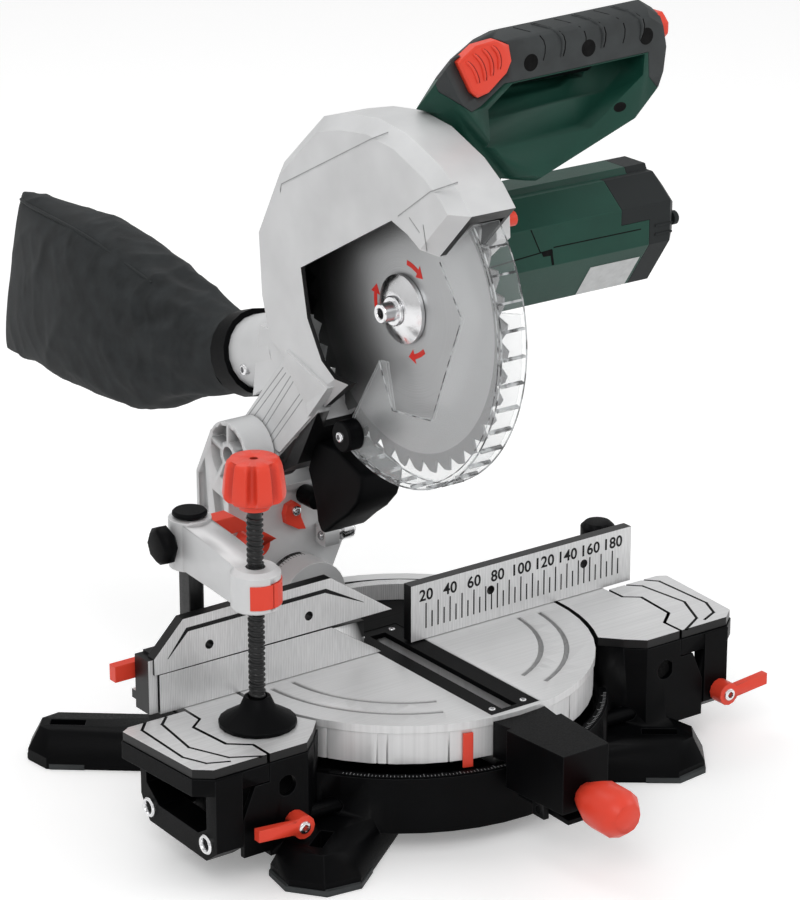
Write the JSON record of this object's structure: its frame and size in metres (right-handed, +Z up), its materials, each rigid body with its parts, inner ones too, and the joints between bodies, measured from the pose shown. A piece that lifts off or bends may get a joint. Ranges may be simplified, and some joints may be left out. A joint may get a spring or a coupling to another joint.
{
  "type": "mitre saw",
  "caption": "Benchtop mitre saw with a turning table, tilting head, sliding table extensions, hold-down clamp, guarded blade, crosswise motor, D-handle and dust bag.",
  "frame": {"origin": "on the bench, under the middle of the saw's width and depth", "axes": "+X to the user's right along the fence, +Y to the back where the dust bag is, +Z up"},
  "size_m": [0.459, 0.757, 0.5045],
  "materials": {
    "cast_silver": "satin",
    "machined": "satin",
    "steel": "satin",
    "black_cast": "satin",
    "black_plastic": "satin",
    "rubber": "matte",
    "green": "satin",
    "red": "satin",
    "clear": "gloss",
    "cloth": "matte",
    "copper": "satin"
  },
  "bodies": {
    "base": {"base_casting": "black_cast", "mitre_scale": "machined", "table_plate_left": "machined", "table_plate_right": "machined", "fence_casting": "machined"},
    "table": {"turntable": "machined", "kerf_insert": "black_plastic", "bevel_barrel": "cast_silver", "front_arm": "black_cast", "mitre_pointer": "red"},
    "mitre_lock": {"mitre_lock_handle": "red"},
    "detent": {"detent_lever": "black_plastic"},
    "tilt": {"tilt_casting": "cast_silver", "hinge_pin": "steel", "bevel_pointer": "red", "bevel_stop_screw": "steel", "head_return_spring": "steel"},
    "bevel_lever": {"bevel_lock_lever": "red"},
    "pin": {"transport_pin": "black_plastic"},
    "head": {"swing_arm": "cast_silver", "upper_guard": "cast_silver", "gear_housing": "cast_silver", "motor_housing": "green", "motor_end_cap": "black_plastic", "stator": "copper", "handle_shell": "green", "handle_grip": "rubber", "chip_chute": "black_plastic", "bag_collar": "black_plastic", "dust_bag": "cloth"},
    "lower_guard_body": {"lower_guard": "clear"},
    "blade": {"saw_blade": "steel", "outer_flange": "steel", "inner_flange": "steel", "arbor_shaft": "steel", "arbor_bolt": "steel", "drive_gear": "steel"},
    "armature": {"armature_shaft": "steel", "armature_core": "copper", "cooling_fan": "black_plastic"},
    "trigger_body": {"trigger": "black_plastic"},
    "lock_slide": {"lock_off_slide": "red"},
    "lock_button": {"lock_off_button": "red"},
    "spindle_lock_body": {"spindle_lock": "red"},
    "extension_left": {"extension_frame_left": "black_cast", "extension_plate_left": "machined"},
    "extension_right": {"extension_frame_right": "black_cast", "extension_plate_right": "machined"},
    "lever_left": {"extension_lock_left": "red"},
    "lever_right": {"extension_lock_right": "red"},
    "fence_slide": {"upper_fence": "machined"},
    "fence_lever": {"fence_lock_lever": "red"},
    "fence_knob": {"fence_knob_right": "black_plastic"},
    "clamp_column": {"clamp_post": "black_cast"},
    "clamp_bracket": {"clamp_arm": "cast_silver"},
    "clamp_foot": {"clamp_pad": "black_plastic"},
    "clamp_screw": {"clamp_spindle": "steel", "clamp_knob": "red"},
    "clamp_button": {"clamp_release": "red"},
    "clamp_thumb": {"clamp_thumb_screw": "black_plastic"}
  },
  "joints": [
    {"name": "mitre_swing", "type": "hinge", "parent": "base", "child": "table", "pos_m": [-0.0055, -0.1405, 0.085], "axis": [0, 0, -1], "range_deg": [-47, 47]},
    {"name": "mitre_lock_turn", "type": "hinge", "parent": "table", "child": "mitre_lock", "pos_m": [-0.0055, -0.3575, 0.051], "axis": [0, 1, 0], "continuous": true},
    {"name": "detent_press", "type": "hinge", "parent": "table", "child": "detent", "pos_m": [-0.0055, -0.3085, 0.0345], "axis": [1, 0, 0], "range_deg": [0, 6], "stiffness_Nm_per_rad": 0.5, "springref_deg": -17.19},
    {"name": "bevel_tilt", "type": "hinge", "parent": "table", "child": "tilt", "pos_m": [-0.0055, -0.0105, 0.085], "axis": [0, -1, 0], "range_deg": [0, 22.5]},
    {"name": "bevel_lock", "type": "hinge", "parent": "tilt", "child": "bevel_lever", "pos_m": [-0.0435, -0.0205, 0.13], "axis": [0, 1, 0], "range_deg": [0, 20]},
    {"name": "transport_pin_slide", "type": "slide", "parent": "tilt", "child": "pin", "axis": [0, -1, 0], "range_m": [0, 0.006]},
    {"name": "head_swing", "type": "hinge", "parent": "tilt", "child": "head", "pos_m": [-0.0055, -0.0125, 0.193], "axis": [-1, 0, 0], "range_deg": [-50, 0], "stiffness_Nm_per_rad": 7, "springref_deg": 68.75},
    {"name": "lower_guard_swing", "type": "hinge", "parent": "head", "child": "lower_guard_body", "pos_m": [-0.0055, -0.1445, 0.322], "axis": [-1, 0, 0], "range_deg": [0, 130]},
    {"name": "blade_spin", "type": "hinge", "parent": "head", "child": "blade", "pos_m": [-0.0055, -0.1445, 0.322], "axis": [1, 0, 0], "continuous": true},
    {"name": "armature_spin", "type": "hinge", "parent": "head", "child": "armature", "pos_m": [0.0745, -0.12498, 0.34152], "axis": [1, 0, 0], "continuous": true},
    {"name": "trigger_press", "type": "slide", "parent": "head", "child": "trigger_body", "axis": [0, 0, 1], "range_m": [0, 0.006], "stiffness_N_per_m": 800, "springref_m": -0.003},
    {"name": "lock_slide_press", "type": "slide", "parent": "head", "child": "lock_slide", "axis": [0, 1, 0], "range_m": [0, 0.004], "stiffness_N_per_m": 600, "springref_m": -0.002},
    {"name": "lock_button_press", "type": "slide", "parent": "head", "child": "lock_button", "axis": [-1, 0, 0], "range_m": [0, 0.005], "stiffness_N_per_m": 600, "springref_m": -0.002},
    {"name": "spindle_lock_press", "type": "slide", "parent": "head", "child": "spindle_lock_body", "axis": [-1, 0, 0], "range_m": [0, 0.003], "stiffness_N_per_m": 1500, "springref_m": -0.002},
    {"name": "extension_left_slide", "type": "slide", "parent": "base", "child": "extension_left", "axis": [-1, 0, 0], "range_m": [0, 0.09]},
    {"name": "extension_right_slide", "type": "slide", "parent": "base", "child": "extension_right", "axis": [1, 0, 0], "range_m": [0, 0.09]},
    {"name": "lever_left_turn", "type": "hinge", "parent": "base", "child": "lever_left", "pos_m": [-0.1545, -0.2365, 0.034], "axis": [0, 1, 0], "range_deg": [0, 80]},
    {"name": "lever_right_turn", "type": "hinge", "parent": "extension_right", "child": "lever_right", "pos_m": [0.1955, -0.2365, 0.034], "axis": [0, -1, 0], "range_deg": [0, 80]},
    {"name": "upper_fence_slide", "type": "slide", "parent": "base", "child": "fence_slide", "axis": [-1, 0, 0], "range_m": [0, 0.07]},
    {"name": "fence_lever_turn", "type": "hinge", "parent": "base", "child": "fence_lever", "pos_m": [-0.1855, -0.1145, 0.105], "axis": [0, 0, -1], "range_deg": [0, 30]},
    {"name": "fence_knob_turn", "type": "hinge", "parent": "base", "child": "fence_knob", "pos_m": [0.1805, -0.1165, 0.115], "axis": [0, 0, 1], "continuous": true},
    {"name": "clamp_swing", "type": "hinge", "parent": "base", "child": "clamp_column", "pos_m": [-0.1525, -0.1125, 0.135], "axis": [0, 0, -1], "range_deg": [-30, 40]},
    {"name": "clamp_lift", "type": "slide", "parent": "clamp_column", "child": "clamp_bracket", "axis": [0, 0, 1], "range_m": [0, 0.02]},
    {"name": "clamp_plunge", "type": "slide", "parent": "clamp_bracket", "child": "clamp_foot", "axis": [0, 0, 1], "range_m": [0, 0.05]},
    {"name": "clamp_screw_turn", "type": "hinge", "parent": "clamp_foot", "child": "clamp_screw", "pos_m": [-0.1525, -0.1875, 0.185], "axis": [0, 0, 1], "continuous": true},
    {"name": "clamp_release_press", "type": "slide", "parent": "clamp_bracket", "child": "clamp_button", "axis": [-0.8291, 0.5591, 0], "range_m": [0, 0.0015], "stiffness_N_per_m": 1500, "springref_m": -0.001},
    {"name": "clamp_thumb_turn", "type": "hinge", "parent": "clamp_bracket", "child": "clamp_thumb", "pos_m": [-0.1705, -0.1125, 0.187], "axis": [1, 0, 0], "continuous": true}
  ],
  "couplings": [
    {"joint": "lower_guard_swing", "follows": "head_swing", "ratio": -2.6},
    {"joint": "armature_spin", "follows": "blade_spin", "ratio": -5}
  ]
}
